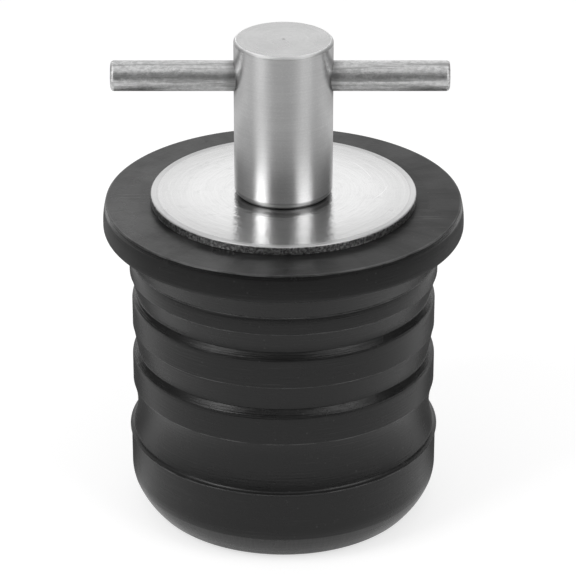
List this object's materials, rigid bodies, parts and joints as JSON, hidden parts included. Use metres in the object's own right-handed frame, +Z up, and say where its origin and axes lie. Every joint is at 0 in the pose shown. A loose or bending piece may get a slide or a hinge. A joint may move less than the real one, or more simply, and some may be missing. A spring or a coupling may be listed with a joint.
{
  "type": "expanding drain plug",
  "caption": "Ribbed black rubber bung with a flange, squeezed between two steel discs by a T-handle screw, to seal a round boat drain.",
  "frame": {"origin": "centre of the bung's foot, on the surface it stands on", "axes": "+Z up along the bolt's axis towards the handle, +X along the cross pin"},
  "size_m": [0.0442, 0.0442, 0.0618],
  "materials": {
    "black_rubber": "moulded, semi-matt",
    "washer_steel": "faced, with fine circular marks",
    "turned_steel": "turned",
    "pin_steel": "drawn along its length",
    "bolt_steel": "smooth, cold formed",
    "plate_steel": "punched sheet"
  },
  "bodies": {
    "plug": {"rubber_bung": "black_rubber", "top_washer": "washer_steel"},
    "handle": {"handle_barrel": "turned_steel", "cross_pin": "pin_steel"},
    "draw": {"draw_bolt": "bolt_steel", "pressure_plate": "plate_steel"}
  },
  "joints": [
    {"name": "handle_turn", "type": "hinge", "parent": "plug", "child": "handle", "pos_m": [0, 0, 0.042], "axis": [0, 0, 1], "range_deg": [-900, 0]},
    {"name": "bolt_draw", "type": "slide", "parent": "plug", "child": "draw", "axis": [0, 0, 1], "range_m": [0, 0.0025], "deforming": ["rubber_bung"]}
  ],
  "couplings": [
    {"joint": "handle_turn", "follows": "bolt_draw", "rad_per_m": -6283.2}
  ]
}
